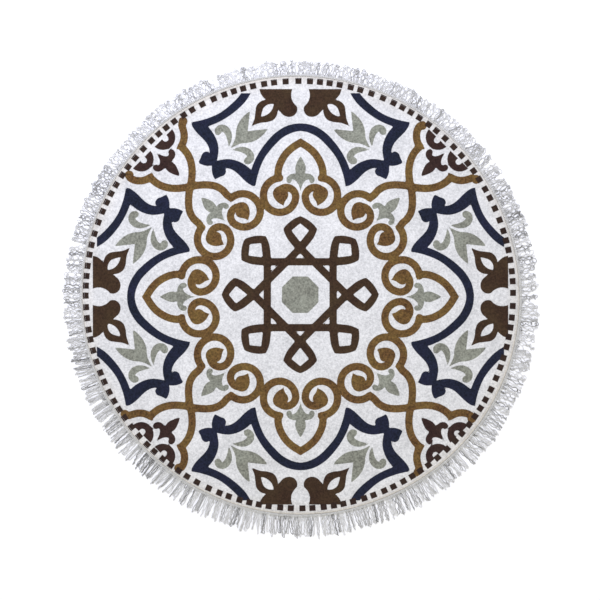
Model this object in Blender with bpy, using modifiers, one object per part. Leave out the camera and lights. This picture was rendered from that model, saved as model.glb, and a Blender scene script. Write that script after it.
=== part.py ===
"""A round beach towel laid flat: a disc of printed towelling with a turned hem, and a fringe
of looped yarn on a heading tape, sewn round its edge.

Metres, +Z up. The origin is the centre of the cloth's underside, on the surface that the
towel lies on. +Y points to the top of the print.
"""

import math
import random

import bmesh
import bpy

TURN = 2 * math.pi

# The cloth, a disc with its edge folded over once.
CLOTH_RADIUS = 0.693
CLOTH_THICKNESS = 0.0025
HEM_WIDTH = 0.010
HEM_THICKNESS = 0.0038
HEM_SOFTNESS = 0.0012  # how far the fold's corners are rounded
CLOTH_STEPS = 144
SHARP_ANGLE = math.radians(40)  # an edge that turns more than this is not shaded smooth
CLOTH_COLOUR = (0.80, 0.80, 0.81, 1)

# The cut edge wanders from a true circle: waves in a turn, depth, phase.
EDGE_WAVES = ((2, 0.0016, 0.6), (3, 0.0011, 2.1), (5, 0.0008, 4.0))

# The heading tape that holds the fringe, butted against the hem.
SEAM_GAP = 0.0003
TAPE_WIDTH = 0.006
TAPE_THICKNESS = 0.003
FRINGE_COLOUR = (0.84, 0.84, 0.86, 1)

# The fringe's locks, each a bundle of yarn loops that lies on the floor.
LOCK_COUNT = 288
LOCK_WIDTH = 0.0128
LOCK_HEIGHT = 0.0040
LOCK_ROOT = 0.003  # how deep a lock is sewn into the tape
FRINGE_REACH = 0.0555  # from the cloth's edge, on average
FRINGE_REACH_RIGHT = 0.0005  # more on the right than on the left
FRINGE_REACH_BOTTOM = 0.0150  # more at the bottom, where the loops lie straight
LENGTH_SPREAD = 0.0035
LEAN_SPREAD = 0.0012
LEAN_WAVES = ((7, 0.0035, 0.4), (19, 0.0036, 1.7), (31, 0.0018, 5.1))
# A lock from its root to its tip: share of its length, share of its full thickness.
LOCK_STATIONS = ((0.0, 0.62), (0.28, 0.95), (0.74, 1.0), (1.0, 0.50))
SEED = 3


def waves(table, angle):
    """The sum of a table's sine waves at an angle round the towel."""
    return sum(depth * math.sin(count * angle + phase) for count, depth, phase in table)


def edge_radius(angle):
    """The cloth's radius in one direction."""
    return CLOTH_RADIUS + waves(EDGE_WAVES, angle)


def fringe_reach(angle):
    """How far the fringe reaches past the cloth's edge in one direction."""
    return FRINGE_REACH + FRINGE_REACH_RIGHT * math.cos(angle) - FRINGE_REACH_BOTTOM * math.sin(angle)


def clear_scene():
    for obj in list(bpy.data.objects):
        bpy.data.objects.remove(obj)


def new_collection(name):
    made = bpy.data.collections.new(name)
    bpy.context.scene.collection.children.link(made)
    return made


def cloth_material(name, colour, roughness):
    material = bpy.data.materials.new(name)
    material.use_nodes = True
    shader = material.node_tree.nodes["Principled BSDF"]
    shader.inputs["Base Color"].default_value = colour
    shader.inputs["Roughness"].default_value = roughness
    shader.inputs["Metallic"].default_value = 0.0
    return material


def turned_mesh(name, profile, closed, steps):
    """A profile of (radius, height) points turned about Z, as a mesh of its own."""
    outline = bpy.data.meshes.new(name + "_profile")
    edges = [(i, i + 1) for i in range(len(profile) - 1)]
    if closed:
        edges.append((len(profile) - 1, 0))
    outline.from_pydata([(radius, 0, height) for radius, height in profile], edges, [])
    turned = bpy.data.objects.new(name + "_turned", outline)
    helpers.objects.link(turned)
    screw = turned.modifiers.new("Turn", "SCREW")
    screw.steps = steps
    screw.render_steps = steps
    screw.use_merge_vertices = True
    screw.merge_threshold = 0.00001
    return baked_mesh(turned, name)


def baked_mesh(obj, name):
    """The object as its modifiers leave it, welded, and the object itself removed."""
    bpy.context.view_layer.update()
    graph = bpy.context.evaluated_depsgraph_get()
    mesh = bpy.data.meshes.new_from_object(obj.evaluated_get(graph))
    mesh.name = name
    mesh.transform(obj.matrix_world)
    bpy.data.objects.remove(obj)
    work = bmesh.new()
    work.from_mesh(mesh)
    bmesh.ops.remove_doubles(work, verts=work.verts, dist=0.00001)
    bmesh.ops.recalc_face_normals(work, faces=work.faces)
    work.to_mesh(mesh)
    work.free()
    mesh.shade_smooth()
    mesh.set_sharp_from_angle(angle=SHARP_ANGLE)
    return mesh


def follow_edge(mesh):
    """Moves each point in or out, so that a true circle of CLOTH_RADIUS becomes the cloth's edge."""
    for vertex in mesh.vertices:
        x, y, _ = vertex.co
        scale = edge_radius(math.atan2(y, x)) / CLOTH_RADIUS
        vertex.co.x = x * scale
        vertex.co.y = y * scale


def make_cloth():
    """The towelling disc, with its hem a thicker band at the rim."""
    inner = CLOTH_RADIUS - HEM_WIDTH
    profile = (
        (0, CLOTH_THICKNESS),
        (CLOTH_RADIUS / 2, CLOTH_THICKNESS),
        (inner, CLOTH_THICKNESS),
        (inner + HEM_SOFTNESS, HEM_THICKNESS),
        (CLOTH_RADIUS - HEM_SOFTNESS, HEM_THICKNESS),
        (CLOTH_RADIUS, HEM_THICKNESS - HEM_SOFTNESS),
        (CLOTH_RADIUS, HEM_SOFTNESS / 2),
        (CLOTH_RADIUS - HEM_SOFTNESS, 0),
        (CLOTH_RADIUS / 2, 0),
        (0, 0),
    )
    mesh = turned_mesh("cloth", profile, False, CLOTH_STEPS)
    follow_edge(mesh)
    cloth = bpy.data.objects.new("cloth", mesh)
    cloth.data.materials.append(cloth_material("printed_terry", CLOTH_COLOUR, 0.95))
    towel.objects.link(cloth)
    return cloth


def make_tape():
    """The heading tape, a flat ring round the cloth."""
    inner = CLOTH_RADIUS + SEAM_GAP
    outer = inner + TAPE_WIDTH
    profile = ((inner, TAPE_THICKNESS), (outer, TAPE_THICKNESS), (outer, 0), (inner, 0))
    mesh = turned_mesh("tape", profile, True, LOCK_COUNT)
    follow_edge(mesh)
    return mesh


def lock_section():
    """The lock's cross-section: level underneath, with a soft ridge on top."""
    curve = bpy.data.curves.new("lock_section", "CURVE")
    curve.dimensions = "2D"
    spline = curve.splines.new("POLY")
    corners = ((-LOCK_WIDTH / 2, 0), (LOCK_WIDTH / 2, 0), (0, LOCK_HEIGHT))
    spline.points.add(len(corners) - 1)
    for point, (across, up) in zip(spline.points, corners):
        point.co = (across, up, 0, 1)
    spline.use_cyclic_u = True
    section = bpy.data.objects.new("lock_section", curve)
    section.hide_render = True
    section.display_type = "WIRE"
    helpers.objects.link(section)
    return section


def lock_points(angle, chance):
    """One lock's centre line from root to tip, as (x, y, share of full thickness)."""
    tape_edge = edge_radius(angle) + SEAM_GAP + TAPE_WIDTH
    root = tape_edge - LOCK_ROOT
    tip = edge_radius(angle) + fringe_reach(angle) + chance.uniform(-1, 1) * LENGTH_SPREAD
    lean = waves(LEAN_WAVES, angle) + chance.uniform(-1, 1) * LEAN_SPREAD
    for share, fullness in LOCK_STATIONS:
        out = root + (tip - root) * share
        side = lean * share * share
        x = out * math.cos(angle) - side * math.sin(angle)
        y = out * math.sin(angle) + side * math.cos(angle)
        yield x, y, fullness


def make_locks():
    """All the locks as one mesh of separate bars."""
    chance = random.Random(SEED)
    curve = bpy.data.curves.new("locks", "CURVE")
    curve.dimensions = "2D"
    curve.fill_mode = "NONE"
    curve.bevel_mode = "OBJECT"
    curve.bevel_object = lock_section()
    curve.use_fill_caps = True
    for number in range(LOCK_COUNT):
        spline = curve.splines.new("POLY")
        stations = list(lock_points((number + 0.5) * TURN / LOCK_COUNT, chance))
        spline.points.add(len(stations) - 1)
        for point, (x, y, fullness) in zip(spline.points, stations):
            point.co = (x, y, 0, 1)
            point.radius = fullness
    locks = bpy.data.objects.new("locks_curve", curve)
    helpers.objects.link(locks)
    return baked_mesh(locks, "locks")


def make_fringe():
    """The heading tape with the locks' roots sewn into it, as one piece."""
    locks = bpy.data.objects.new("locks", make_locks())
    locks.hide_render = True
    locks.display_type = "WIRE"
    helpers.objects.link(locks)
    fringe = bpy.data.objects.new("fringe", make_tape())
    fringe.data.materials.append(cloth_material("fringe_yarn", FRINGE_COLOUR, 0.9))
    towel.objects.link(fringe)
    join = fringe.modifiers.new("Sewn in", "BOOLEAN")
    join.operation = "UNION"
    join.solver = "EXACT"
    join.object = locks
    return fringe


clear_scene()
towel = new_collection("round_beach_towel")
helpers = new_collection("cutters")
make_cloth()
make_fringe()
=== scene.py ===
"""A round beach towel, laid flat: a disc of white cotton towelling printed with a tile medallion, hemmed,
and edged all round with a fringe of looped yarn. Metres, +Z up, and +Y points to the top of the print."""

import math
import random

import bpy
import numpy as np
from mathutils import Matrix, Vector


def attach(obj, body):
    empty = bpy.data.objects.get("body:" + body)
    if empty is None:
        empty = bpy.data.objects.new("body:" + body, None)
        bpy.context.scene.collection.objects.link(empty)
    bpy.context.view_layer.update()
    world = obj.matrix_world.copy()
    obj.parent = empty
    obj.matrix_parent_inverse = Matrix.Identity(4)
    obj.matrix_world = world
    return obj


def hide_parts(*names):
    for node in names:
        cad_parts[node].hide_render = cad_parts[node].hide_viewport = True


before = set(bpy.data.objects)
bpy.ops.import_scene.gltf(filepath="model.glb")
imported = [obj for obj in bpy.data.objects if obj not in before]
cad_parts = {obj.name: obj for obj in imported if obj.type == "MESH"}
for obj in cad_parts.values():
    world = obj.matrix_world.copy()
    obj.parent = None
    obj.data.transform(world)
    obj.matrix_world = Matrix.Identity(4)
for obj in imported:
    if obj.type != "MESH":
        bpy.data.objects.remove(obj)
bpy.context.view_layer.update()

# ======================================================================
# The cloth: one disc of white cotton towelling, its face sheared smooth and printed in six inks. The cut
# edge is turned over once and stitched down, which makes a flat hem 10 mm wide and half as thick again.
# ======================================================================
TURN = 2 * math.pi
CLOTH_RADIUS = 0.693
CLOTH_THICKNESS = 0.0025
HEM_THICKNESS = 0.0038
EDGE_WAVES = ((2, 0.0025, 3.35), (3, 0.0011, 2.1), (5, 0.0008, 4.0))  # waves in a turn, depth, phase


def waves(table, angle):
    """The sum over a table's rows of depth * sin(count * angle + phase)."""
    return sum(depth * np.sin(count * angle + phase) for count, depth, phase in table)


def edge_radius(angle):
    """The cloth's outline: CLOTH_RADIUS plus the waves by which the cut edge wanders."""
    return CLOTH_RADIUS + waves(EDGE_WAVES, angle)


def ease(share):
    """A soft step from 0 to 1: 3 s^2 - 2 s^3, and level outside."""
    share = np.clip(share, 0, 1)
    return share * share * (3 - 2 * share)


# ----------------------------------------------------------------------
# The print. Each ink is worked out as a field: the distance from a point to the ink's nearest edge, below
# nothing inside it. The medallion is a common one of painted tiles, laid out here from its symmetry: a
# side is drawn once, in mm, and folded round the axes and diagonals. The towel was printed a little off
# centre, in passes that don't quite agree, so the knot, the flowers and the ring each have a centre.
# ----------------------------------------------------------------------
MM = 0.001
INK_REACH = 0.020  # how far past an ink its field is worked out
KNOT_CENTRE = (-0.0014, 0.0025)
BLOOM_CENTRE = (-0.0005, -0.0041)
RING_CENTRE = (-0.0040, 0.0026)
PRINT_RADIUS = 0.685  # from the ring's centre, with nothing printed past it
SPAN_STEPS = 8  # straight steps in a curved span
ARC_STEP = 8  # degrees between an arc's points, at most
NO_LENGTH = 1e-12  # stands in for the length of a step between two equal points


def smooth(*points):
    """A side through its points: each span is the cubic whose slope at a point is the mean of the slopes
    of the two spans that meet there, where the shorter span counts more. Two points make it straight."""
    p = np.array(points, float) * MM
    if len(p) == 2:
        return p
    step = np.diff(p, axis=0)
    length = np.hypot(*step.T)[:, None]
    slope = step / length
    inner = (slope[:-1] * length[1:] + slope[1:] * length[:-1]) / (length[:-1] + length[1:])
    slope = np.vstack((2 * slope[0] - inner[0], inner, 2 * slope[-1] - inner[-1]))
    t = (np.arange(SPAN_STEPS) / SPAN_STEPS)[:, None, None]
    curve = (p[:-1] + step * (3 * t**2 - 2 * t**3)
             + length * (slope[:-1] * (t - 2 * t**2 + t**3) + slope[1:] * (t**3 - t**2)))
    return np.vstack((curve.transpose(1, 0, 2).reshape(-1, 2), p[-1]))


def arc(centre, radius, start, end, end_radius=None):
    """A round side from one angle to another, in degrees: centre + radius * (cos, sin), where the radius
    may grow or shrink evenly on the way."""
    share = np.linspace(0, 1, 2 + int(abs(end - start) / ARC_STEP))[:, None]
    angle = np.radians(start + (end - start) * share)
    radius = radius + ((end_radius or radius) - radius) * share
    return (np.array(centre) + radius * np.hstack((np.cos(angle), np.sin(angle)))) * MM


def whole(*sides):
    """An outline that is its own mirror image over the fold at u = 0."""
    half = np.vstack(sides)
    return np.vstack((half, half[::-1] * (-1, 1)))


def distance(path, u, v):
    """How far each point lies from the nearest of the path's straight steps."""
    a, step = path[:-1], np.diff(path, axis=0)
    du, dv = u[:, None] - a[:, 0], v[:, None] - a[:, 1]
    share = np.clip((du * step[:, 0] + dv * step[:, 1]) / np.maximum((step**2).sum(1), NO_LENGTH), 0, 1)
    return np.hypot(du - share * step[:, 0], dv - share * step[:, 1]).min(axis=1)


def near(path, reach, u, v):
    """The points within reach of the box round a path."""
    low, high = path.min(axis=0) - reach, path.max(axis=0) + reach
    return (u > low[0]) & (u < high[0]) & (v > low[1]) & (v < high[1])


def draw_line(ink, uv, width, *sides):
    """A line of even width: the distance to its centre line less half the width."""
    u, v = uv
    for side in sides:
        close = near(side, INK_REACH + width / 2, u, v)
        ink[close] = np.minimum(ink[close], distance(side, u[close], v[close]) - width / 2)


def draw_filled(ink, uv, *rings):
    """An outline less its holes: the distance to it, below nothing at the points from which a line to the
    right crosses the outlines an odd number of times."""
    u, v = uv
    rings = [np.vstack((ring, ring[:1])) for ring in rings]
    close = near(rings[0], INK_REACH, u, v)
    u, v = u[close], v[close]
    away = np.full(u.shape, np.inf)
    crossings = np.zeros(u.shape, int)
    for ring in rings:
        away = np.minimum(away, distance(ring, u, v))
        a, b = ring[:-1], ring[1:]
        spans = (a[:, 1] > v[:, None]) != (b[:, 1] > v[:, None])
        rise = np.where(a[:, 1] == b[:, 1], 1.0, b[:, 1] - a[:, 1])
        meets = a[:, 0] + (v[:, None] - a[:, 1]) * (b[:, 0] - a[:, 0]) / rise
        crossings += np.count_nonzero(spans & (meets > u[:, None]), axis=1)
    ink[close] = np.minimum(ink[close], np.where(crossings % 2 == 1, -away, away))


def draw_spur(ink, uv, width, start, tip):
    """A point that runs out of a line's end: the distance to its axis less a half width that falls evenly
    to nothing at the tip."""
    (u, v), a, step = uv, np.array(start) * MM, (np.array(tip) - start) * MM
    share = np.clip(((u - a[0]) * step[0] + (v - a[1]) * step[1]) / (step @ step), 0, 1)
    away = np.hypot(u - a[0] - share * step[0], v - a[1] - share * step[1])
    np.minimum(ink, away - width / 2 * (1 - share), out=ink)


def fold_square(x, y, centre):
    """Folded to one eighth: u is the distance across the nearest axis, v the distance out along it."""
    dx, dy = abs(x - centre[0]), abs(y - centre[1])
    return np.minimum(dx, dy), np.maximum(dx, dy)


def fold_star(x, y, centre):
    """Folded to one sixteenth, over the axes and the diagonals alike."""
    u, v = fold_square(x, y, centre)
    turned = u > v * math.tan(TURN / 16)
    return np.where(turned, (v - u) / 2**0.5, u), np.where(turned, (v + u) / 2**0.5, v)


def fold_back(uv, limit, outward=False):
    """Folded over the line u + v = limit, towards the middle or outward."""
    u, v = uv
    over = (u + v > limit) ^ outward
    return np.where(over, limit - v, u), np.where(over, limit - u, v)


def on_diagonal(uv):
    """The same points measured across and along the diagonal."""
    u, v = uv
    return (v - u) / 2**0.5, (v + u) / 2**0.5


def past_diagonal(x, y, centre):
    """Whether a point lies anticlockwise of its own quarter's diagonal. Near the rim the print isn't quite
    mirrored over its diagonals: a few of its forms lean clockwise on both sides."""
    return np.arctan2(y - centre[1], x - centre[0]) % (TURN / 4) > TURN / 8


# The knot's two crossed squares, a kite on each of its eight points, and a flower at the end of each axis.
KNOT_BAND = 0.0218
KNOT_SIDE = 104.2  # mm from the centre to the middle of a square's side
PETAL_END = 0.6565


def brown_ink(x, y):
    """A straight band folded into the first square's sides and another into the second's, the kite less
    the hole in it, and one petal less its eye."""
    ink = np.full(x.shape, INK_REACH)
    star = fold_star(x, y, KNOT_CENTRE)
    far = KNOT_SIDE * 2**0.5
    draw_line(ink, star, KNOT_BAND,
              smooth((-10, KNOT_SIDE), (150, KNOT_SIDE)),
              smooth((-5, far + 5), (150, far - 150)))
    draw_filled(ink, star,
                whole(smooth((0, 248), (30, 232), (53, 208)),
                      smooth((53, 208), (42, 181), (28, 162), (16, 148)),
                      smooth((16, 148), (0, 132))),
                whole(smooth((0, 166), (29, 203)),
                      smooth((29, 203), (0, 227))))
    petal = np.vstack((smooth((132, 668), (24, 668)),
                       smooth((24, 668), (27, 656), (30, 643), (29, 628), (23, 614), (12, 602)),
                       smooth((12, 602), (12, 586), (23, 573), (38, 570), (53, 575), (64, 586), (73, 597)),
                       smooth((73, 597), (75, 576), (85, 561), (103, 554), (127, 551), (155, 540)),
                       smooth((155, 540), (145, 563), (142, 585), (138, 605), (125, 618), (105, 622)),
                       smooth((105, 622), (118, 633), (126, 645), (129, 656), (132, 668))))
    eye = np.vstack((smooth((84, 610), (103, 609), (116, 600), (123, 583), (126, 569)),
                     smooth((126, 569), (107, 575), (92, 588), (84, 610))))
    draw_filled(ink, fold_square(x, y, BLOOM_CENTRE), petal, eye)
    return ink


# On each diagonal, a small lily over two round caps, each cut off straight and slotted in the middle.
CAP_PLACE = (0.0485, 0.6640)
CAP_RADIUS = 0.0385
CAP_END = 0.6615
SLOT_TOP = 0.6555
SLOT_HALF_WIDTH = 0.0101
SLOT_LEAN = 0.0034  # how far clockwise a slot lies of its cap's middle


def plum_ink(x, y):
    """The lily's outline, and a circle less its slot: the points nearer than SLOT_HALF_WIDTH to a line that
    starts at SLOT_TOP and runs out to the rim."""
    ink = np.full(x.shape, INK_REACH)
    u, v = on_diagonal(fold_square(x, y, BLOOM_CENTRE))
    draw_filled(ink, (u, v), whole(
        smooth((0, 541), (10, 560), (15, 578), (11, 595)),
        smooth((11, 595), (24, 593), (36, 597), (43, 607), (42, 617), (35, 622), (28, 619), (25, 610)),
        smooth((25, 610), (17, 612), (9, 620), (4, 631), (0, 646))))
    across = u - CAP_PLACE[0]
    cap = np.hypot(across, v - CAP_PLACE[1]) - CAP_RADIUS
    lean = np.where(past_diagonal(x, y, BLOOM_CENTRE), SLOT_LEAN, -SLOT_LEAN)
    slot = np.hypot(across + lean, np.maximum(SLOT_TOP - v, 0)) - SLOT_HALF_WIDTH
    return np.minimum(ink, np.maximum(cap, -slot))


# The large arches: each runs from an axis to a sharp corner, turns back in two lobes and ends in a scroll.
ARCH_FOLD = 0.695
ARCH_END = 0.6435


def navy_ink(x, y):
    """One outline, folded back over the slanting line on which an arch's two halves join."""
    ink = np.full(x.shape, INK_REACH)
    square = fold_square(x, y, BLOOM_CENTRE)
    outline = np.vstack((
        smooth((-38, 542), (0, 548), (38, 542), (73, 523), (108, 488), (138, 443), (156, 400)),
        smooth((156, 400), (176, 417), (199, 429), (225, 435), (250, 433), (267, 429)),
        smooth((267, 429), (300, 462)),
        smooth((300, 462), (312, 450)),
        smooth((312, 450), (279, 415)),
        smooth((279, 415), (280, 401), (277, 386), (270, 372)),
        smooth((270, 372), (255, 380), (241, 386), (236, 398), (243, 408)),
        smooth((243, 408), (228, 407), (211, 400), (196, 388), (180, 372), (166, 360), (153, 352)),
        smooth((153, 352), (143, 350)),
        smooth((143, 350), (132, 398), (115, 438), (87, 475), (46, 511), (0, 525), (-46, 511))))
    draw_filled(ink, fold_back(square, ARCH_FOLD), outline)
    return ink


# The scrollwork: eight pairs of spirals round the knot, and over them an arch on each axis and diagonal.
# The arms that reach furthest out end in a bulb, and hook clockwise on both sides of a diagonal.
SCROLL_WIDTH = 0.0222
JOINT_WIDTH = 0.0130  # of the short neck between a spiral and the arch over it
BULB_RADIUS = 0.0135
BULB_PAST = (0.3855, 0.5420)  # on the anticlockwise side of a diagonal
BULB_BEFORE = (0.3715, 0.5555)


def ochre_ink(x, y):
    """Lines of even width along arcs and short curves, spurs at some of their ends, one filled curl, and
    the outer arms, each the nearer of its line and its bulb."""
    ink = np.full(x.shape, INK_REACH)
    star = fold_star(x, y, BLOOM_CENTRE)
    draw_line(ink, star, SCROLL_WIDTH,
              arc((66, 318), 58, 90, 0, 51),
              arc((66, 318), 51, 0, -180),
              arc((45, 316), 30, 180, 25))
    draw_filled(ink, star, np.vstack((
        smooth((46, 336), (39, 322), (42, 313), (49, 303), (52, 296), (54, 288)),
        smooth((54, 288), (59, 292), (68, 297), (77, 305), (84, 316), (87, 328), (82, 341), (64, 350),
               (46, 336)))))
    draw_spur(ink, star, SCROLL_WIDTH, (68, 377), (55, 369))
    square = fold_square(x, y, BLOOM_CENTRE)
    draw_line(ink, square, SCROLL_WIDTH,
              smooth((-24, 503), (0, 488), (24, 473), (45, 454), (60, 431), (69, 407), (71, 388), (69, 378)),
              smooth((222, 315), (231, 321), (247, 338), (269, 350), (294, 354), (322, 353), (349, 349)),
              smooth((349, 349), (344, 376), (343, 402), (347, 427), (357, 451), (378, 475)))
    draw_line(ink, on_diagonal(square), JOINT_WIDTH, smooth((66, 379), (61, 376)))
    draw_spur(ink, square, SCROLL_WIDTH, (378, 475), (394, 468))
    past = past_diagonal(x, y, BLOOM_CENTRE)
    arm_past = smooth((378, 475), (369, 493), (367, 513), (370, 528), (377, 540))
    arm_before = smooth((378, 475), (370, 493), (368, 513), (371, 528), (376, 543))
    for chosen, bulb, arm in ((past, BULB_PAST, arm_past), (~past, BULB_BEFORE, arm_before)):
        hook = np.hypot(square[0] - bulb[0], square[1] - bulb[1]) - BULB_RADIUS
        draw_line(hook, square, SCROLL_WIDTH, arm)
        ink = np.where(chosen, np.minimum(ink, hook), ink)
    return ink


# The filling: an octagon in the knot, a lily in each pair of spirals, and a spray inside each arch corner.
OCTAGON_REACH = 0.057
SPRAY_FOLD = 0.691


def grey_ink(x, y):
    """The octagon, which is how far out a point lies in the star's fold less OCTAGON_REACH, the lily's
    outline, and the spray's two, folded outward over its corner."""
    ink = fold_star(x, y, KNOT_CENTRE)[1] - OCTAGON_REACH
    draw_filled(ink, fold_star(x, y, BLOOM_CENTRE), whole(
        smooth((0, 444), (9, 428), (16, 408), (12, 389)),
        smooth((12, 389), (24, 389), (36, 384), (43, 375), (43, 365), (36, 360), (29, 365), (29, 373)),
        smooth((29, 373), (18, 370), (7, 357), (0, 334))))
    corner = fold_back(fold_square(x, y, BLOOM_CENTRE), SPRAY_FOLD, outward=True)
    draw_filled(ink, corner, np.vstack((
        smooth((221, 470), (211, 488), (205, 505), (203, 526), (196, 548), (181, 569), (161, 586)),
        smooth((161, 586), (164, 556), (168, 523)),
        smooth((168, 523), (140, 495)),
        smooth((140, 495), (193, 442)),
        smooth((193, 442), (221, 470)))))
    draw_filled(ink, corner, np.vstack((
        smooth((227, 476), (219, 495), (218, 515), (228, 535), (245, 544), (262, 540), (271, 527),
               (267, 514), (258, 513), (249, 525)),
        smooth((249, 525), (239, 516), (232, 500), (227, 476)))))
    return ink


# A ring of square dashes round the rim: a border of eight, repeated fifteen times and a half, with uneven
# joins.
DASH_STEPS = (0.0, 3.12, 5.79, 8.84, 11.57, 14.17, 16.85, 19.96)  # degrees from the start of a repeat
DASH_REPEATS = (0.5, 23.8, 47.0, 70.3, 93.7, 117.0, 140.2, 163.4,
                198.3, 221.4, 244.9, 267.7, 290.3, 313.7, 337.0)  # degrees from +X to where each starts
HALF_REPEAT = 186.3  # where the half one starts
DASH_RADIUS = 0.676
DASH_HALF_WIDTH = 0.00905
DASH_HALF_HEIGHT = 0.00865


def dash_fields(x, y):
    """How far a point lies past the sides of the nearest dash, and how far out from the dashes' circle.
    They are kept apart until the shader joins them, so that the dashes' corners stay sharp."""
    half = HALF_REPEAT + np.array(DASH_STEPS[:len(DASH_STEPS) // 2])
    place = np.radians(np.append(np.add.outer(DASH_REPEATS, DASH_STEPS), half))
    dx, dy = x - RING_CENTRE[0], y - RING_CENTRE[1]
    turn = np.arctan2(dy, dx)[:, None] - place
    nearest = abs((turn + TURN / 2) % TURN - TURN / 2).min(axis=1)
    return nearest * DASH_RADIUS - DASH_HALF_WIDTH, np.hypot(dx, dy) - DASH_RADIUS


# The inks in the order that they were printed in: colour, how mottled it took, and where a straight edge
# cuts it off, as a distance out along the nearer axis or the nearer diagonal.
INKS = (
    ("grey", grey_ink, "7f8075", 0.6, None, 0),
    ("ochre", ochre_ink, "614928", 0.75, None, 0),
    ("navy", navy_ink, "1a1e2f", 0.75, "axis", ARCH_END),
    ("brown", brown_ink, "39291c", 0.6, "axis", PETAL_END),
    ("plum", plum_ink, "32221e", 0.6, "diagonal", CAP_END))
DASH_COLOUR = "2e211b"
DASH_MOTTLE = 0.6

# ----------------------------------------------------------------------
# The disc itself, a square grid bent onto rings. The outer rings follow the hem from its inner fold over
# the row of stitches and round the rim, and a plain underside closes the mesh.
# ----------------------------------------------------------------------
GRID_RINGS = 150
STITCH_INSET = 0.0078
STITCH_DIP = 0.0005  # how deep the stitches are pulled into the hem
HEM_PROFILE = (  # distance in from the edge, height
    (0.0145, CLOTH_THICKNESS), (0.0120, CLOTH_THICKNESS), (0.0104, CLOTH_THICKNESS),
    (0.0096, CLOTH_THICKNESS + 0.0008), (0.0088, HEM_THICKNESS), (STITCH_INSET, HEM_THICKNESS - STITCH_DIP),
    (0.0068, HEM_THICKNESS - 0.0001), (0.0052, HEM_THICKNESS - 0.0003), (0.0036, HEM_THICKNESS - 0.0007),
    (0.0020, HEM_THICKNESS - 0.0013), (0.0008, HEM_THICKNESS - 0.0019), (0.0, HEM_THICKNESS - 0.0026),
    (0.0, 0.0006), (0.0012, 0.0))
UNDERSIDE_SHARES = (0.6, 0.2)  # its rings, as shares of the rim's radius
SWELL_SEED = 11
SWELL_COUNT = 26
SWELL_LENGTHS = (0.06, 0.24)
SWELL_HEIGHT = 0.0004
SWELL_INSET = 0.010  # how far in from the edge the swell begins
SWELL_GROWTH = 0.030  # and over what distance it grows
PUCKERS = ((230, 0.00010, 0.4), (307, 0.00009, 2.0), (411, 0.00007, 4.4))  # as EDGE_WAVES
PUCKERED_FROM = 2 * HEM_THICKNESS / 3  # the height over which the hem is puckered


def concentric_grid(rings):
    """A square grid bent onto a disc: a square ring becomes a circle, and a point's share of the way along
    a side becomes its share of a quarter turn. Gives each point's ring number and angle, and the faces."""
    step = np.arange(-rings, rings + 1)
    i, j = (side.ravel() for side in np.meshgrid(step, step, indexing="ij"))
    ring = np.maximum(abs(i), abs(j))
    wide = abs(i) >= abs(j)
    start = np.where(wide, np.where(i < 0, TURN / 2, 0), np.where(j < 0, -TURN / 4, TURN / 4))
    longer = np.where(ring == 0, 1, np.where(wide, i, j))
    angle = start + TURN / 8 * np.where(wide, j, -i) / longer
    number = np.arange(len(ring)).reshape(len(step), len(step))
    faces = np.stack((number[:-1, :-1], number[1:, :-1], number[1:, 1:], number[:-1, 1:]), axis=-1)
    return ring, angle, faces.reshape(-1, 4)


def swell(x, y):
    """The slight unevenness of cloth laid by hand: long waves in random directions, added up, each as
    high as it is long."""
    chance = np.random.default_rng(SWELL_SEED)
    heading = chance.uniform(0, TURN, SWELL_COUNT)
    length = chance.uniform(*SWELL_LENGTHS, SWELL_COUNT)
    phase = chance.uniform(0, TURN, SWELL_COUNT)
    along = x[:, None] * np.cos(heading) + y[:, None] * np.sin(heading)
    total = (np.sin(TURN * along / length + phase) * length).sum(axis=1)
    return SWELL_HEIGHT * total / np.sqrt((length**2).sum())


def disc_points(ring, angle):
    """A ring inside the hem keeps its share of the way from the centre, and an outer ring its distance in
    from the edge. The height is the profile's, plus the swell inside the hem and the puckers on it."""
    inset, height = np.array(HEM_PROFILE).T
    inner = GRID_RINGS - len(inset)
    within = ring <= inner
    outer = np.clip(ring - inner - 1, 0, len(inset) - 1)
    edge = edge_radius(angle)
    field = (edge - inset[0]) * ring / (inner + 1)
    radius = np.where(within, field, edge - inset[outer])
    x, y = radius * np.cos(angle), radius * np.sin(angle)
    z = np.where(within, CLOTH_THICKNESS, height[outer])
    z = z + swell(x, y) * ease((edge - radius - SWELL_INSET) / SWELL_GROWTH)
    z = z + waves(PUCKERS, angle) * (z > PUCKERED_FROM)
    return np.column_stack((x, y, z))


def underside(boundary, points):
    """Rings of the rim's own points, drawn in towards the middle, and the middle point. Gives the new
    points and their faces, which look down."""
    first, count = len(points), len(boundary)
    rim = points[boundary] * (1, 1, 0)
    added = np.vstack([rim * share for share in UNDERSIDE_SHARES] + [np.zeros((1, 3))])
    rows = [boundary] + [first + row * count + np.arange(count) for row in range(len(UNDERSIDE_SHARES))]
    quads = [np.column_stack((b, np.roll(b, -1), np.roll(a, -1), a)) for a, b in zip(rows, rows[1:])]
    middle = np.full(count, first + len(added) - 1)
    centre = np.column_stack((np.roll(rows[-1], -1), rows[-1], middle))
    return added, np.vstack(quads), centre


def add_mesh(name, points, *face_blocks):
    """A smooth mesh object at the origin. Each block of faces is an array with a face's corners a row."""
    mesh = bpy.data.meshes.new(name)
    corners = np.concatenate([block.ravel() for block in face_blocks])
    sizes = np.concatenate([np.full(len(block), block.shape[1]) for block in face_blocks])
    mesh.vertices.add(len(points))
    mesh.vertices.foreach_set("co", points.astype(np.float32).ravel())
    mesh.loops.add(len(corners))
    mesh.loops.foreach_set("vertex_index", corners.astype(np.int32))
    mesh.polygons.add(len(sizes))
    mesh.polygons.foreach_set("loop_start", (np.cumsum(sizes) - sizes).astype(np.int32))
    mesh.update(calc_edges=True)
    mesh.shade_smooth()
    made = bpy.data.objects.new(name, mesh)
    bpy.context.scene.collection.objects.link(made)
    return made


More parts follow.
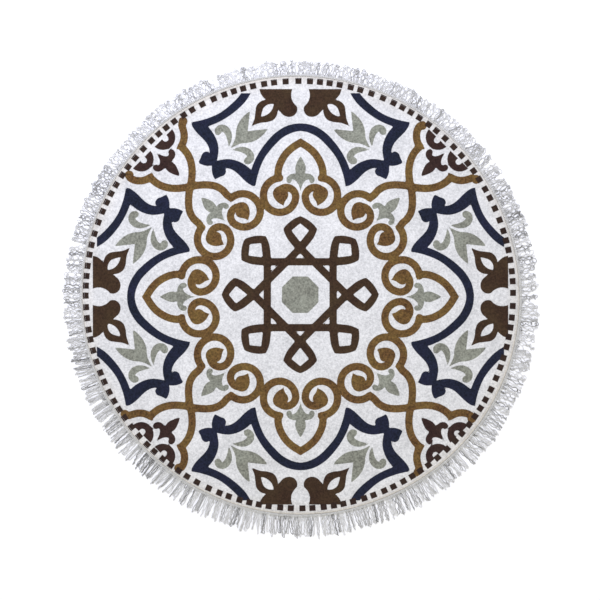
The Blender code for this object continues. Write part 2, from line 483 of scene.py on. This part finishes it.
def set_value(piece, name, values):
    """Gives each point of a piece one number, for its material to read."""
    attribute = piece.data.attributes.new(name, "FLOAT", "POINT")
    attribute.data.foreach_set("value", values.astype(np.float32))


ring, angle, top_faces = concentric_grid(GRID_RINGS)
face_points = disc_points(ring, angle)
rim = np.flatnonzero(ring == GRID_RINGS)
rim = rim[np.argsort(angle[rim] % TURN)]
under_points, under_faces, under_centre = underside(rim, face_points)
cloth = add_mesh("towelling_disc", np.vstack((face_points, under_points)),
                 top_faces, under_faces, under_centre)

# Each ink's field is kept on the disc's points, and the underside is bare.
face_x, face_y = face_points[:, 0], face_points[:, 1]
past_print = np.hypot(face_x - RING_CENTRE[0], face_y - RING_CENTRE[1]) - PRINT_RADIUS
bare = np.full(len(under_points), INK_REACH)
for ink_name, ink_field, *_ in INKS:
    set_value(cloth, ink_name, np.concatenate((np.maximum(ink_field(face_x, face_y), past_print), bare)))
for side_name, field in zip(("dash_across", "dash_outward"), dash_fields(face_x, face_y)):
    set_value(cloth, side_name, np.concatenate((field, bare)))

# ----------------------------------------------------------------------
# The towelling's material: white cotton whose nap lies in soft patches, over a short dense pile, with
# the inks soaked into it, and painted shade that darkens and warms it towards the rim and more over the
# hem. An ink's edge is ragged by about the width of a tuft.
# ----------------------------------------------------------------------
COTTON_LIGHT = "e7e6e5"
COTTON_DARK = "aeaeae"
NOISE_ROUGHNESS = 0.6
NOISE_RANGE = (0.28, 0.72)  # where nearly all the values of a noise lie
NOISE_MIDDLE = 0.5
PATCH_SIZE = 0.070
PATCH_DEPTH = 0.0010
TUFT_SIZE = 0.0055
TUFT_DEPTH = 0.0006
TUFT_SHARE = 0.7  # how much of the nap's unevenness is in tufts, and the rest in patches
FIBRES_IN_METRE = 600.0
FIBRE_DEPTH = 0.0003
# Painted shade: the cotton is darkened and warmed a little in a band towards the rim, and more over the
# hem's turned edge.
RIM_SHADE_TINT = "fcf9f4"
RIM_SHADE_BAND = (0.045, 0.010)  # distances in from the edge between which the painted shade sets in
HEM_SHADE_TINT = "f9f6f0"
HEM_SHADE_BAND = (0.009, 0.001)
INK_SPREAD = 0.0008  # how far the ink creeps past its own edge
INK_BLEED = 0.0022  # how unevenly it creeps from fibre to fibre
INK_SOFTNESS = 0.0007
SAME_HUE = 0.5
HUE_SHIFT = 0.014  # either way, of a whole turn of hues
TERRY_ROUGHNESS = 0.95
TERRY_SHEEN = 0.12
DULL_SPECULAR = 0.15
SHEEN_ROUGHNESS = 0.5


def colour(code):
    """A colour written as six hex digits, turned to the linear values that shaders use."""
    shares = [int(code[i:i + 2], 16) / 255 for i in (0, 2, 4)]
    linear = [((s + 0.055) / 1.055) ** 2.4 if s > 0.04045 else s / 12.92 for s in shares]
    return (*linear, 1.0)


def add_node(tree, kind, inputs=None, **settings):
    """A shader node with its settings, and with its inputs set to values or linked to other outputs."""
    made = tree.nodes.new("ShaderNode" + kind)
    for name, value in settings.items():
        setattr(made, name, value)
    for name, value in (inputs or {}).items():
        if isinstance(value, bpy.types.NodeSocket):
            tree.links.new(value, made.inputs[name])
        else:
            made.inputs[name].default_value = value
    return made


def add_math(tree, operation, *values):
    """The output of a Math node on two or three values or sockets."""
    return add_node(tree, "Math", dict(enumerate(values)), operation=operation).outputs[0]


def add_mix(tree, share, first, second, blend="MIX"):
    """The output of a colour Mix node."""
    inputs = {0: share, 6: first, 7: second}
    return add_node(tree, "Mix", inputs, data_type="RGBA", blend_type=blend).outputs[2]


def add_range(tree, value, low, high, to_low=0.0, to_high=1.0):
    """A value in one range stretched to another, and held at its ends."""
    inputs = {"Value": value, "From Min": low, "From Max": high, "To Min": to_low, "To Max": to_high}
    return add_node(tree, "MapRange", inputs).outputs["Result"]


def new_group(name, inputs, outputs):
    """An empty node group with number inputs, given with their usual values, and number outputs."""
    group = bpy.data.node_groups.new(name, "ShaderNodeTree")
    for socket, usual in inputs.items():
        made = group.interface.new_socket(socket, in_out="INPUT", socket_type="NodeSocketFloat")
        made.default_value = usual
    for socket in outputs:
        group.interface.new_socket(socket, in_out="OUTPUT", socket_type="NodeSocketFloat")
    return group, group.nodes.new("NodeGroupInput").outputs, group.nodes.new("NodeGroupOutput").inputs


def cotton_group():
    """The unevenness of cotton: Patches are soft clouds of one size, Tufts a finer fleck of another."""
    sizes = {"Patch Size": PATCH_SIZE, "Tuft Size": TUFT_SIZE}
    group, given, result = new_group("cotton", sizes, ("Patches", "Tufts"))
    place = add_node(group, "TexCoord").outputs["Object"]
    for size, output, detail in (("Patch Size", "Patches", 3.0), ("Tuft Size", "Tufts", 2.0)):
        scale = add_math(group, "DIVIDE", 1.0, given[size])
        inputs = {"Vector": place, "Scale": scale, "Detail": detail, "Roughness": NOISE_ROUGHNESS}
        noise = add_node(group, "TexNoise", inputs)
        group.links.new(add_range(group, noise.outputs["Fac"], *NOISE_RANGE), result[output])
    return group


def new_material(name, roughness, sheen):
    """A rough material that hardly shines, with as much of fibre ends' pale sheen as it is given."""
    material = bpy.data.materials.new(name)
    material.use_nodes = True
    shader = material.node_tree.nodes["Principled BSDF"]
    shader.inputs["Roughness"].default_value = roughness
    shader.inputs["Specular IOR Level"].default_value = DULL_SPECULAR
    shader.inputs["Sheen Weight"].default_value = sheen
    shader.inputs["Sheen Roughness"].default_value = SHEEN_ROUGHNESS
    return material, material.node_tree, shader.inputs


def add_bump(tree, height, depth, below=None):
    """The normal that a height map gives, on top of another bump's."""
    inputs = {"Height": height, "Distance": depth, "Strength": 1.0}
    if below is not None:
        inputs["Normal"] = below
    return add_node(tree, "Bump", inputs).outputs["Normal"]


cotton = cotton_group()
terry, tree, shader = new_material("printed_terry", TERRY_ROUGHNESS, TERRY_SHEEN)
evenness = add_node(tree, "Group", {"Patch Size": PATCH_SIZE, "Tuft Size": TUFT_SIZE}, node_tree=cotton)
patches, tufts = evenness.outputs["Patches"], evenness.outputs["Tufts"]
place = add_node(tree, "TexCoord").outputs["Object"]
fibre_noise = add_node(tree, "TexNoise", {"Vector": place, "Scale": FIBRES_IN_METRE, "Detail": 2.0})
fibres = fibre_noise.outputs["Fac"]
nap = add_math(tree, "MULTIPLY_ADD", tufts, TUFT_SHARE, add_math(tree, "MULTIPLY", patches, 1 - TUFT_SHARE))
ground = add_mix(tree, nap, colour(COTTON_DARK), colour(COTTON_LIGHT))
x, y, _ = add_node(tree, "SeparateXYZ", {0: place}).outputs
rim_reach = add_math(tree, "SQRT", add_math(tree, "ADD", add_math(tree, "MULTIPLY", x, x),
                                            add_math(tree, "MULTIPLY", y, y)))
# Painted shade, multiplied into the cotton: a warm darkening towards the rim, then more over the hem.
for tint, (band_start, band_end) in ((RIM_SHADE_TINT, RIM_SHADE_BAND), (HEM_SHADE_TINT, HEM_SHADE_BAND)):
    in_shade_band = add_range(tree, rim_reach, CLOTH_RADIUS - band_start, CLOTH_RADIUS - band_end)
    ground = add_mix(tree, in_shade_band, ground, colour(tint), "MULTIPLY")
across = add_math(tree, "ABSOLUTE", add_math(tree, "SUBTRACT", x, BLOOM_CENTRE[0]))
along = add_math(tree, "ABSOLUTE", add_math(tree, "SUBTRACT", y, BLOOM_CENTRE[1]))
reaches = {"axis": add_math(tree, "MAXIMUM", across, along),
           "diagonal": add_math(tree, "MULTIPLY", add_math(tree, "ADD", across, along), 0.5**0.5)}
bleed = add_math(tree, "MULTIPLY", add_math(tree, "SUBTRACT", fibres, NOISE_MIDDLE), INK_BLEED)
ink_hue = add_range(tree, patches, 0.0, 1.0, SAME_HUE - HUE_SHIFT, SAME_HUE + HUE_SHIFT)
dash_across, dash_outward = (add_node(tree, "Attribute", attribute_name=name).outputs["Fac"]
                             for name in ("dash_across", "dash_outward"))
dash_ends = add_math(tree, "SUBTRACT", add_math(tree, "ABSOLUTE", dash_outward), DASH_HALF_HEIGHT)
painted = ground
ink_fields = []
for name, _, code, mottle, direction, end in INKS:
    field = add_node(tree, "Attribute", attribute_name=name).outputs["Fac"]
    if direction:
        field = add_math(tree, "MAXIMUM", field, add_math(tree, "SUBTRACT", reaches[direction], end))
    ink_fields.append((field, code, mottle))
ink_fields.append((add_math(tree, "MAXIMUM", dash_across, dash_ends), DASH_COLOUR, DASH_MOTTLE))
for field, code, mottle in ink_fields:
    mask = add_range(tree, add_math(tree, "ADD", field, bleed), INK_SPREAD + INK_SOFTNESS,
                     INK_SPREAD - INK_SOFTNESS)
    strength = add_range(tree, nap, 0.0, 1.0, 1 - mottle, 1 + mottle)
    ink = add_node(tree, "HueSaturation", {"Color": colour(code), "Hue": ink_hue, "Value": strength})
    painted = add_mix(tree, mask, painted, ink.outputs["Color"])
tree.links.new(painted, shader["Base Color"])
soft = add_bump(tree, patches, PATCH_DEPTH)
pile = add_bump(tree, tufts, TUFT_DEPTH, soft)
tree.links.new(add_bump(tree, fibres, FIBRE_DEPTH, pile), shader["Normal"])
cloth.data.materials.append(terry)

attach(cloth, "root")
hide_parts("cloth")

# ======================================================================
# The hem's stitching: a single row of white lockstitch, 3 mm to the stitch, that runs all the way round
# near the hem's inner fold and pulls the towelling in a little.
# ======================================================================
STITCH_PITCH = 0.003
STITCH_LENGTH = 0.0024
STITCH_STATIONS = (-0.5, -0.3, 0.3, 0.5)  # shares of its length, from its middle
STITCH_RISE = 0.0003  # of its two middle stations over the ends, which go down into the hem
STITCH_TAPER = 0.5  # of the ends, as a share of the thread
THREAD_RADIUS = 0.00028
THREAD_SIDES = 4
THREAD_COLOUR = "e2e1e4"
# the thread's colour in shade, towards which the painted shade in its grooves darkens it
THREAD_SHADED = "a9a9ac"
THREAD_PLY = 0.0012  # the length in which a ply goes round once
THREAD_PATCH = 0.05


def round_points(turn, radius, height):
    """Points at angles round the towel: radius * cos, radius * sin and the height."""
    height = np.broadcast_to(height, radius.shape)
    return np.stack((radius * np.cos(turn), radius * np.sin(turn), height), axis=-1)


def unit(vectors):
    """Vectors brought to length one."""
    return vectors / np.linalg.norm(vectors, axis=-1, keepdims=True)


def add_tubes(name, paths, radius, sides, closed=False):
    """Round tubes carried along paths, an array of (tube, station, xyz): a corner is the path's point
    plus radius times cos(a) across and sin(a) up, where across is the path's direction crossed with Z.
    The UV map holds the metres along a tube and the share of a turn round it, and lit how high a corner
    sits on its tube, from 0 to 1, which the yarn materials read to paint shade on a tube's underside."""
    count, stations = paths.shape[:2]
    if closed:
        along = unit(np.roll(paths, -1, axis=1) - np.roll(paths, 1, axis=1))
    else:
        along = unit(np.gradient(paths, axis=1))
    across = unit(np.cross(along, (0.0, 0.0, 1.0)))
    up = np.cross(across, along)
    a = TURN * (np.arange(sides) + 0.5) / sides - TURN / 4
    section = np.cos(a)[:, None] * across[:, :, None] + np.sin(a)[:, None] * up[:, :, None]
    radius = np.broadcast_to(radius, (count, stations))[:, :, None, None]
    points = paths[:, :, None] + radius * section
    number = np.arange(count * stations * sides).reshape(count, stations, sides)
    if closed:
        number = np.concatenate((number, number[:, :1]), axis=1)
    turned = np.roll(number, -1, axis=2)
    faces = np.stack((number[:, :-1], number[:, 1:], turned[:, 1:], turned[:, :-1]), axis=-1)
    ring_points = np.concatenate((paths, paths[:, :1]), axis=1) if closed else paths
    steps = np.linalg.norm(np.diff(ring_points, axis=1), axis=-1)
    length = np.concatenate((np.zeros((count, 1)), np.cumsum(steps, axis=1)), axis=1)
    u = np.broadcast_to(length[:, :, None], number.shape)
    v = np.broadcast_to(np.arange(sides) / sides, number.shape)
    next_v = v + 1 / sides
    corner_u = np.stack((u[:, :-1], u[:, 1:], u[:, 1:], u[:, :-1]), axis=-1)
    corner_v = np.stack((v[:, :-1], v[:, 1:], next_v[:, 1:], next_v[:, :-1]), axis=-1)
    uv = np.stack((corner_u, corner_v), axis=-1).reshape(-1, 2)
    blocks = [faces.reshape(-1, 4)]
    if not closed:
        blocks.append(np.concatenate((number[:, 0], number[:, -1, ::-1])))
        uv = np.vstack((uv, np.zeros((2 * count * sides, 2))))
    made = add_mesh(name, points.reshape(-1, 3), *blocks)
    made.data.uv_layers.new(name="yarn").data.foreach_set("uv", uv.astype(np.float32).ravel())
    set_value(made, "lit", np.broadcast_to((1 + np.sin(a)) / 2, points.shape[:3]).ravel())
    return made


def twist_group():
    """The turns of a plied yarn: ridges that run round it once in each Ply Length, |sin| in height."""
    group, given, result = new_group("yarn_twist", {"Ply Length": THREAD_PLY, "Plies": 2.0}, ("Height",))
    place = add_node(group, "SeparateXYZ", {0: add_node(group, "UVMap", uv_map="yarn").outputs[0]})
    along = add_math(group, "DIVIDE", place.outputs["X"], given["Ply Length"])
    phase = add_math(group, "MULTIPLY", add_math(group, "ADD", along, place.outputs["Y"]), given["Plies"])
    ridge = add_math(group, "SINE", add_math(group, "MULTIPLY", phase, math.pi))
    group.links.new(add_math(group, "ABSOLUTE", ridge), result["Height"])
    return group


yarn_twist = twist_group()

# Painted shade: the yarn's colour is darkened in the grooves between its plies, on its underside and, by
# each yarn's own shade value, over whole loops.
YARN_ROUGHNESS = 0.9
YARN_SHEEN = 0.15
YARN_TUFT = 0.0015
GROOVE_DEPTH = 0.0004
GROOVE_SHARE = 0.7  # how far up a ply the shade painted in its groove reaches
GROOVE_SHADE = 0.65
PATCH_SHADE = 0.9
UNDERSIDE_FADE = (0.5, 0.9)  # how high round a yarn the shade painted on its underside fades out
UNDERSIDE_PAINTED_SHADE = 0.3


def yarn_material(name, light, dark, ply_length, patch_size):
    """Spun cotton: two plies twisted together. A light colour and a dark one, its colour in shade, are mixed
    by the product of four factors: painted shade given to each yarn, painted shade in the grooves between
    its plies, the random tone of its patches, and painted shade on its underside."""
    material, tree, shader = new_material(name, YARN_ROUGHNESS, YARN_SHEEN)
    evenness = add_node(tree, "Group", {"Patch Size": patch_size, "Tuft Size": YARN_TUFT}, node_tree=cotton)
    twist = add_node(tree, "Group", {"Ply Length": ply_length}, node_tree=yarn_twist)
    lit = add_node(tree, "Attribute", attribute_name="lit").outputs["Fac"]
    shade = add_node(tree, "Attribute", attribute_name="shade").outputs["Fac"]
    groove = add_range(tree, twist.outputs["Height"], 0.0, GROOVE_SHARE, GROOVE_SHADE, 1.0)
    uneven = add_range(tree, evenness.outputs["Patches"], 0.0, 1.0, PATCH_SHADE, 1.0)
    # Painted shade on the yarn's underside, by how high round the tube a point sits.
    underside_shade = add_range(tree, lit, *UNDERSIDE_FADE, UNDERSIDE_PAINTED_SHADE, 1.0)
    value = add_math(tree, "MULTIPLY", add_math(tree, "MULTIPLY", groove, uneven), shade)
    value = add_math(tree, "MULTIPLY", value, underside_shade)
    tree.links.new(add_mix(tree, value, colour(dark), colour(light)), shader["Base Color"])
    twisted = add_bump(tree, twist.outputs["Height"], GROOVE_DEPTH)
    tree.links.new(add_bump(tree, evenness.outputs["Tufts"], GROOVE_DEPTH / 2, twisted), shader["Normal"])
    return material


stitch_count = int(TURN * CLOTH_RADIUS / STITCH_PITCH)
stitch_turn = TURN * np.arange(stitch_count)[:, None] / stitch_count
stitch_turn = stitch_turn + np.array(STITCH_STATIONS) * STITCH_LENGTH / CLOTH_RADIUS
stitch_radius = edge_radius(stitch_turn) - STITCH_INSET
stitch_top = HEM_THICKNESS - STITCH_DIP + waves(PUCKERS, stitch_turn)
stitch_top = stitch_top + np.array((0.0, STITCH_RISE, STITCH_RISE, 0.0))
stitch_paths = round_points(stitch_turn, stitch_radius, stitch_top)
thread_radius = THREAD_RADIUS * np.array((STITCH_TAPER, 1.0, 1.0, STITCH_TAPER))
stitching = add_tubes("hem_stitching", stitch_paths, thread_radius, THREAD_SIDES)
set_value(stitching, "shade", np.ones(len(stitching.data.vertices)))
sewing_thread = yarn_material("sewing_thread", THREAD_COLOUR, THREAD_SHADED, THREAD_PLY, THREAD_PATCH)
stitching.data.materials.append(sewing_thread)

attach(stitching, "root")
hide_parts("cloth")

# ======================================================================
# The fringe's heading: a narrow cotton tape under the loops' roots, and three rows of yarn woven over them,
# which hold the roots down. It is sewn to the hem's edge all the way round.
# ======================================================================
SEAM_GAP = 0.0003
TAPE_WIDTH = 0.006
TAPE_TOP = 0.0012
TAPE_STATIONS = 720
# Painted shade: the tape, which lies under the loops' roots, is darkened a little.
TAPE_SHADE = 0.9
WEFT_ROWS = 3
WEFT_RADIUS = 0.0008
WEFT_SIDES = 4
WEFT_STATIONS = 1440
WEFT_WAVES = 360  # in a turn
WEFT_HEIGHT = 0.0036
WEFT_RISE = 0.0004
# Painted shade: the woven rows are darkened to the grey of the shaded band at the hem's edge.
WEFT_SHADE = 0.8
WEFT_LIGHT = "f0efec"
# the rows' colour in shade, towards which their painted shade darkens them
WEFT_SHADED = "d6d5d1"
WEFT_PLY = 0.0030  # as THREAD_PLY
YARN_PATCH = 0.020

tape_turn = TURN * np.arange(TAPE_STATIONS)[:, None] / TAPE_STATIONS
tape_out = np.array((SEAM_GAP, SEAM_GAP, SEAM_GAP + TAPE_WIDTH, SEAM_GAP + TAPE_WIDTH))
tape_up = np.array((0.0, TAPE_TOP, TAPE_TOP, 0.0))
tape_radius = edge_radius(tape_turn) + tape_out
tape_points = round_points(tape_turn, tape_radius, tape_up)
number = np.arange(tape_radius.size).reshape(tape_radius.shape)
ahead, inward = np.roll(number, -1, axis=0), np.roll(number, -1, axis=1)
tape_faces = np.stack((number, inward, np.roll(ahead, -1, axis=1), ahead), axis=-1).reshape(-1, 4)
tape = add_mesh("heading_tape", tape_points.reshape(-1, 3), tape_faces)
set_value(tape, "shade", np.full(tape_radius.size, TAPE_SHADE))
set_value(tape, "lit", np.ones(tape_radius.size))
tape.data.uv_layers.new(name="yarn")  # left at nothing, so that the tape has no plies

weft_turn = TURN * np.arange(WEFT_STATIONS) / WEFT_STATIONS
weft_rows = np.arange(WEFT_ROWS)[:, None]
weft_radius = edge_radius(weft_turn) + SEAM_GAP + TAPE_WIDTH * (weft_rows + 0.5) / WEFT_ROWS
weft_height = WEFT_HEIGHT + WEFT_RISE * np.cos(WEFT_WAVES * weft_turn + weft_rows * TURN / 2)
weft_paths = round_points(weft_turn, weft_radius, weft_height)
weft = add_tubes("heading_yarn", weft_paths, WEFT_RADIUS, WEFT_SIDES, closed=True)
set_value(weft, "shade", np.full(len(weft.data.vertices), WEFT_SHADE))

heading_yarn = yarn_material("heading_yarn", WEFT_LIGHT, WEFT_SHADED, WEFT_PLY, YARN_PATCH)
for piece in (tape, weft):
    piece.data.materials.append(heading_yarn)
    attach(piece, "root")
    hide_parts("fringe")

# ======================================================================
# The fringe: loops of two-ply cotton yarn in 288 locks, out from the heading and back again. They lie on
# the floor as they fell, curled up at the top and the sides, and combed nearly straight at the bottom.
# ======================================================================
LOCK_COUNT = 288
LOCK_PITCH = TURN * CLOTH_RADIUS / LOCK_COUNT
LOCK_SEED = 3
FRINGE_REACH = 0.0570
FRINGE_REACH_RIGHT = 0.0005
FRINGE_REACH_BOTTOM = 0.0150
FRINGE_REACH_TOP = 0.0100
LENGTH_SPREAD = 0.0035
LEAN_SPREAD = 0.0012
LEAN_WAVES = ((7, 0.0035, 0.4), (19, 0.0036, 1.7), (31, 0.0018, 5.1))  # as EDGE_WAVES
ROOT_INSET = 0.001  # how far past the seam a loop comes up
COMBED_CURL = (0.26, 0.10)  # how curly combed yarn still is, and how much more so towards the right
COMBED_UP_TO = (-0.55, -0.20)  # the sine of the angle where it was combed up to, and its change to the right
COMBED_FADE = 0.45
YARN_RADIUS = 0.00085
YARN_SIDES = 5
YARN_LIGHT = "fffefb"
# the yarn's colour in shade, towards which its painted shade darkens it
YARN_SHADED = "6e6d6b"
YARN_PLY = 0.0055  # as THREAD_PLY
SECTORS = (("right", 97), ("top", 97), ("left", 97), ("bottom", 81))  # stations a loop
LOOP_SEED = 8
LOCK_LOOPS = 3  # at most
LOOP_SHARE = 0.575  # of them that are there, on average
LOOP_SHARE_WAVES = ((1, 0.11, -0.08), (2, 0.048, 4.22))  # as EDGE_WAVES
STRAIGHT_SHARE = 0.8  # how many more there are where they lie straight, as a share
STUB_STATIONS = 17
STUB_SHARE = 0.34
STUB_REACH = 0.27  # as a share of a loop's reach

# How single loops fall. Where there are two limits, a loop's own value is drawn evenly between them.
LOOP_BLUNTNESS = 1.6
LOOP_LENGTHS = (0.86, 1.06)  # shares of the lock's length
LOOP_SHADE_POWER = 1.9  # painted shade: the higher, the fewer loops are darkened much
TOP_PAINTED_LIGHT = 0.28  # painted light: how much less painted shade the loops get round the top, nearer the lamp
CURL_SPREAD = 0.15
LEAST_CURL = 0.04
COIL_RADII = (0.0024, 0.0060)  # of the circle that a curled loop turns round
COIL_TURNS = (2.8, 6.2)
COMBED_TURNS = 0.7  # how many more turns straight yarn takes, as a share
COIL_START = 0.02  # shares of the way out at which it begins, and over which it grows
COIL_GROWTH = 0.26
WANDER = 0.9  # radians by which its turning runs ahead or behind
WANDER_WAVES = (0.6, 1.6)  # along a loop
LEG_SPREADS = (0.0018, 0.0046)  # half the distance between a loop's legs
LEG_GROWTH = 0.5  # the share of the way out over which they part
LEG_SHARPNESS = 6  # how suddenly one leg turns into the other at the tip
LEG_TWIST = 0.8  # turns, at most
LOCK_PINCH = 0.2  # how much narrower a lock is at its tip, at most
STRAY_SHARE = 0.35  # of the loops
STRAY_REACH = 0.018
LYING_HEIGHT = 1.02  # of a yarn's middle; this and the next two are in yarn radii
LAYER_RISE = 0.8
CROSSING_RISE = 0.85
ROOT_RISE = 0.0012
ROOT_FALL = 0.15  # the share of the way out over which a loop comes down from its root


def fringe_reach(angle):
    """How far the fringe reaches past the cloth's edge: longest at the bottom, shortest at the top."""
    lengthwise = np.where(np.sin(angle) < 0, FRINGE_REACH_BOTTOM, FRINGE_REACH_TOP)
    return FRINGE_REACH + FRINGE_REACH_RIGHT * np.cos(angle) - lengthwise * np.sin(angle)


def curliness(angle):
    """1 where the yarn is curled up, round the top and sides, and least where it was combed, at the bottom
    and a little further up on the left than on the right: a soft step in the sine of the angle."""
    least = COMBED_CURL[0] + COMBED_CURL[1] * np.cos(angle)
    combed_end = COMBED_UP_TO[0] + COMBED_UP_TO[1] * np.cos(angle)
    return least + (1 - least) * ease((np.sin(angle) - combed_end) / COMBED_FADE)


def loop_paths(lock_angle, reach, lean, loops, stations, chance):
    """Loops, as (lock, loop, station) arrays. t runs along a loop from -1 to 1, its tip at 0: it goes out
    by 1 - |t|^LOOP_BLUNTNESS of its length, its two legs stand apart by tanh(LEG_SHARPNESS t) and may twist
    round each other, and a curled loop also turns round a small circle as it goes, rising over itself. A
    loop's painted shade is 1 less a random share that is small for most loops, as though it lay deep in the
    fringe, and the share is smaller round the top, as painted light from the lamp beyond it."""
    shape = (len(lock_angle), loops, 1)
    t = np.linspace(-1, 1, stations)
    share = 1 - abs(t) ** LOOP_BLUNTNESS

    curl = curliness(lock_angle) + chance.uniform(-CURL_SPREAD, CURL_SPREAD, len(lock_angle))
    curl = np.clip(curl, LEAST_CURL, 1)[:, None, None]
    coil = curl * chance.uniform(*COIL_RADII, shape) * np.minimum(reach / FRINGE_REACH, 1)[:, None, None]
    grow = ease((share - COIL_START) / COIL_GROWTH)
    turns = chance.uniform(*COIL_TURNS, shape) * chance.choice((-1, 1), shape)
    turns = turns * (1 + COMBED_TURNS * (1 - curl))
    wander = np.sin(TURN * t * chance.uniform(*WANDER_WAVES, shape) + chance.uniform(0, TURN, shape))
    phase = chance.uniform(0, TURN, shape) + turns * TURN / 2 * t + WANDER * wander

    length = (reach[:, None, None] - coil / 2) * chance.uniform(*LOOP_LENGTHS, shape)
    slot = ((np.arange(loops) + 0.5) / loops - 0.5)[:, None] * LOCK_PITCH
    slot = slot * (1 - chance.uniform(0, LOCK_PINCH, (len(lock_angle), 1, 1)) * share)
    leg_at_root = LOCK_PITCH / loops / 4
    leg_at_tip = chance.uniform(*LEG_SPREADS, shape)
    leg = leg_at_root + (leg_at_tip - leg_at_root) * ease(share / LEG_GROWTH)
    legs = np.tanh(LEG_SHARPNESS * t)
    twist = (1 - curl) * chance.uniform(0, LEG_TWIST, shape) * TURN * share
    is_stray = chance.random(shape) < STRAY_SHARE
    stray = is_stray * chance.uniform(-STRAY_REACH, STRAY_REACH, shape) * (1 + curl) / 2

    out = length * share + coil * grow * np.cos(phase)
    side = (lean[:, None, None] + stray) * share**2 + slot + leg * legs * np.cos(twist)
    side = side + coil * grow * np.sin(phase)
    layer = chance.permuted(np.broadcast_to(np.arange(loops), shape[:2]), axis=1)[:, :, None]
    crossing = curl * (1 + np.cos(phase)) + (1 - curl) * (1 + legs * np.sin(twist))
    height = YARN_RADIUS * (LYING_HEIGHT + grow * (LAYER_RISE * layer + CROSSING_RISE * crossing))
    height = height + ROOT_RISE * (1 - ease(share / ROOT_FALL))
    # Painted shade: each loop is darkened at random, as though it lay deep in the fringe, and less round the
    # top, as painted light from the lamp beyond it.
    painted_shade_depth = 1 - TOP_PAINTED_LIGHT * np.maximum(np.sin(lock_angle), 0)[:, None, None]
    loop_shade = 1 - painted_shade_depth * chance.random(shape) ** LOOP_SHADE_POWER
    return out, side, height, np.broadcast_to(loop_shade, out.shape)


def add_loops(name, lock, reach_share, there, stations, chance):
    """The loops of some locks as one piece: each lock's own angle, length and lean, as it was cut. Of the
    most loops that a lock may have, the ones at which the running total of there passes a whole number."""
    lock_angle = (lock + 0.5) * TURN / LOCK_COUNT
    root = edge_radius(lock_angle) + SEAM_GAP + ROOT_INSET
    tip = edge_radius(lock_angle) + fringe_reach(lock_angle) + lock_draws[lock, 0] * LENGTH_SPREAD
    lean = waves(LEAN_WAVES, lock_angle) + lock_draws[lock, 1] * LEAN_SPREAD
    reach = (tip - root) * reach_share
    out, side, height, loop_shade = loop_paths(lock_angle, reach, lean * reach_share, LOCK_LOOPS, stations, chance)
    out = out + root[:, None, None]
    cos, sin = np.cos(lock_angle)[:, None, None], np.sin(lock_angle)[:, None, None]
    paths = np.stack((out * cos - side * sin, out * sin + side * cos, height), axis=-1)
    total = np.floor(np.cumsum(np.repeat(there, LOCK_LOOPS)))
    kept = (np.diff(total, prepend=0) > 0).reshape(out.shape[:2])
    made = add_tubes("fringe_" + name, paths[kept], YARN_RADIUS, YARN_SIDES)
    set_value(made, "shade", np.repeat(loop_shade[kept].ravel(), YARN_SIDES))
    return made


chance = random.Random(LOCK_SEED)
lock_draws = np.array([(chance.uniform(-1, 1), chance.uniform(-1, 1)) for _ in range(LOCK_COUNT)])
loop_chance = np.random.default_rng(LOOP_SEED)
sector_locks = LOCK_COUNT // len(SECTORS)
fringe = []
for place, (sector, stations) in enumerate(SECTORS):
    lock = (np.arange(sector_locks) + sector_locks * place - sector_locks // 2) % LOCK_COUNT
    lock_angle = (lock + 0.5) * TURN / LOCK_COUNT
    there = LOOP_SHARE + waves(LOOP_SHARE_WAVES, lock_angle)
    there = there * (1 + STRAIGHT_SHARE * (1 - curliness(lock_angle)))
    fringe.append(add_loops(sector, lock, 1.0, there, stations, loop_chance))
stub_there = np.full(LOCK_COUNT, STUB_SHARE)
fringe.append(add_loops("roots", np.arange(LOCK_COUNT), STUB_REACH, stub_there, STUB_STATIONS, loop_chance))

loop_yarn = yarn_material("fringe_yarn", YARN_LIGHT, YARN_SHADED, YARN_PLY, YARN_PATCH)
for piece in fringe:
    piece.data.materials.append(loop_yarn)
    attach(piece, "root")
    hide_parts("fringe")

# ======================================================================
# The floor that the towel lies on: plain, matt and nearly white.
# ======================================================================
FLOOR_SIZE = 24.0
FLOOR_DROP = 0.0002  # just clear of the underside
FLOOR_COLOUR = "fdfdff"
FLOOR_ROUGHNESS = 0.9

corner = FLOOR_SIZE / 2
floor_points = np.array(((-corner, -corner), (corner, -corner), (corner, corner), (-corner, corner)))
floor_points = np.column_stack((floor_points, np.full(4, -FLOOR_DROP)))
floor = add_mesh("floor", floor_points, np.array(((0, 1, 2, 3),)))
floor_paint, tree, shader = new_material("floor_paint", FLOOR_ROUGHNESS, 0.0)
shader["Base Color"].default_value = colour(FLOOR_COLOUR)
floor.data.materials.append(floor_paint)

# ======================================================================
# The light and the camera: an even pale room, a large soft lamp high up beyond the towel's top with a much
# weaker one opposite, and a camera that looks straight down.
# ======================================================================
ROOM_COLOUR = (0.80, 0.80, 0.79, 1.0)
LAMPS = (  # place, size, power, colour
    ("window", (-0.5, 1.4, 2.0), 1.0, 35.0, (0.93, 0.97, 1.22)),
    ("fill", (0.5, -1.7, 2.2), 1.0, 7.0, (1.0, 0.95, 0.70)))
VIEW_CENTRE = (-0.0021, -0.0142)
VIEW_WIDTH = 1.899
CAMERA_HEIGHT = 6.0
SENSOR_WIDTH = 36.0  # mm

scene = bpy.context.scene
scene.view_settings.view_transform = "Standard"
room = bpy.data.worlds.new("room")
room.use_nodes = True
room.node_tree.nodes["Background"].inputs["Color"].default_value = ROOM_COLOUR
scene.world = room

# A lamp shines along its own -Z, which points at the towel's middle.
for name, place, size, power, tint in LAMPS:
    lamp = bpy.data.objects.new(name, bpy.data.lights.new(name, "AREA"))
    lamp.data.size = size
    lamp.data.energy = power
    lamp.data.color = tint
    lamp.location = place
    lamp.rotation_euler = Vector(place).to_track_quat("Z", "Y").to_euler()
    scene.collection.objects.link(lamp)

camera = bpy.data.objects.new("camera", bpy.data.cameras.new("camera"))
camera.data.sensor_width = SENSOR_WIDTH
camera.data.lens = SENSOR_WIDTH * CAMERA_HEIGHT / VIEW_WIDTH
camera.location = (*VIEW_CENTRE, CAMERA_HEIGHT)
scene.collection.objects.link(camera)
scene.camera = camera
